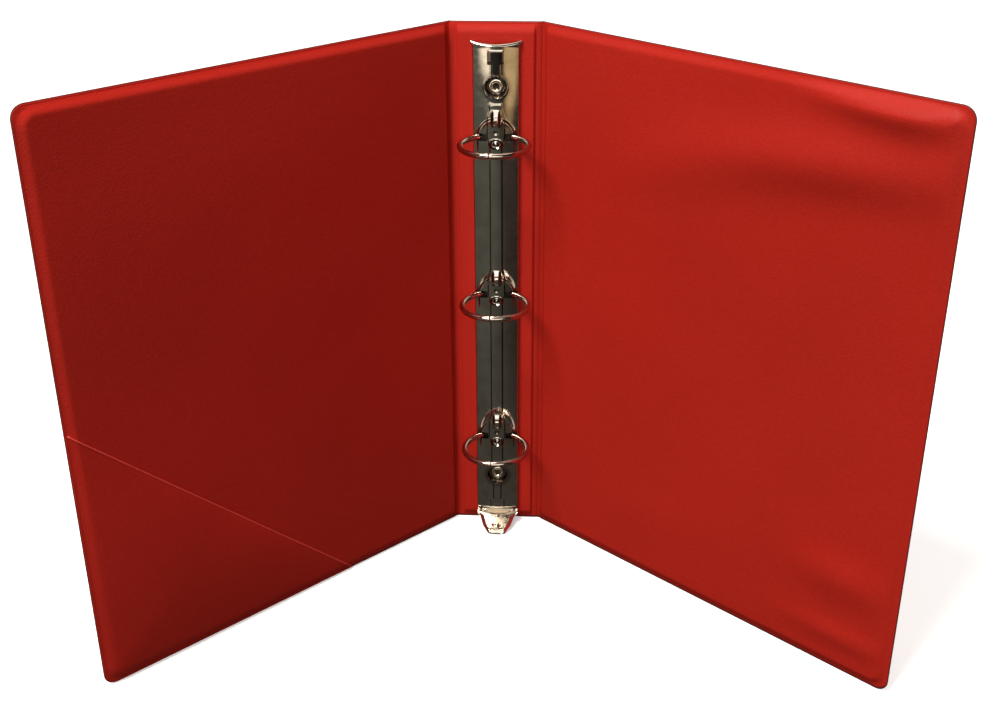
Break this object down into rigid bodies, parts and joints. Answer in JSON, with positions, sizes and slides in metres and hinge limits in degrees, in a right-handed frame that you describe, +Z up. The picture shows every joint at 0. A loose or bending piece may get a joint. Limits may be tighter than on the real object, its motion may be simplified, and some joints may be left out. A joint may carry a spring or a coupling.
{
  "type": "ring binder",
  "caption": "Small ring binder standing open: vinyl-covered boards with live hinges, opening metal rings on a riveted plate, a booster lever and an inside corner pocket.",
  "frame": {"origin": "middle of the spine's bottom edge, halfway through the welded sheets", "axes": "+Z up along the spine, rings point along -Y, front cover on -X"},
  "size_m": [0.3042, 0.1309, 0.232],
  "materials": {
    "vinyl": "fine-grained flexible vinyl with a soft sheen",
    "board": "grey-brown binder's board",
    "plate_steel": "nickel-plated spring steel",
    "bright_nickel": "bright nickel plate"
  },
  "bodies": {
    "spine": {"spine_board": "board", "spine_outer_sheet": "vinyl", "spine_inner_sheet": "vinyl", "front_hinge_web": "vinyl", "back_hinge_web": "vinyl", "cover_plate": "plate_steel", "lower_rivet": "bright_nickel", "upper_rivet": "bright_nickel"},
    "front_cover": {"front_board": "board", "front_outer_sheet": "vinyl", "front_inner_sheet": "vinyl", "corner_pocket": "vinyl"},
    "back_cover": {"back_board": "board", "back_outer_sheet": "vinyl", "back_inner_sheet": "vinyl"},
    "left_rings": {"left_blade": "plate_steel", "lower_ring_left": "bright_nickel", "middle_ring_left": "bright_nickel", "upper_ring_left": "bright_nickel"},
    "right_rings": {"right_blade": "plate_steel", "lower_ring_right": "bright_nickel", "middle_ring_right": "bright_nickel", "upper_ring_right": "bright_nickel"},
    "lever": {"booster_lever": "bright_nickel"}
  },
  "joints": [
    {"name": "front_cover_hinge", "type": "hinge", "parent": "spine", "child": "front_cover", "pos_m": [-0.019, 0, 0.116], "axis": [0, 0, 1], "range_deg": [-135, 41]},
    {"name": "back_cover_hinge", "type": "hinge", "parent": "spine", "child": "back_cover", "pos_m": [0.019, 0, 0.116], "axis": [0, 0, -1], "range_deg": [-130.5, 45.5]},
    {"name": "left_ring_swing", "type": "hinge", "parent": "spine", "child": "left_rings", "pos_m": [-0.0085, -0.0023, 0.116], "axis": [0, 0, -1], "range_deg": [0, 13.5]},
    {"name": "right_ring_swing", "type": "hinge", "parent": "spine", "child": "right_rings", "pos_m": [0.0085, -0.0023, 0.116], "axis": [0, 0, 1], "range_deg": [0, 13.5]},
    {"name": "lever_tilt", "type": "hinge", "parent": "spine", "child": "lever", "pos_m": [0, -0.0029, 0.0053], "axis": [1, 0, 0], "range_deg": [0, 29.7]}
  ],
  "couplings": [
    {"joint": "right_ring_swing", "follows": "left_ring_swing", "ratio": 1},
    {"joint": "lever_tilt", "follows": "left_ring_swing", "ratio": 2.2}
  ]
}
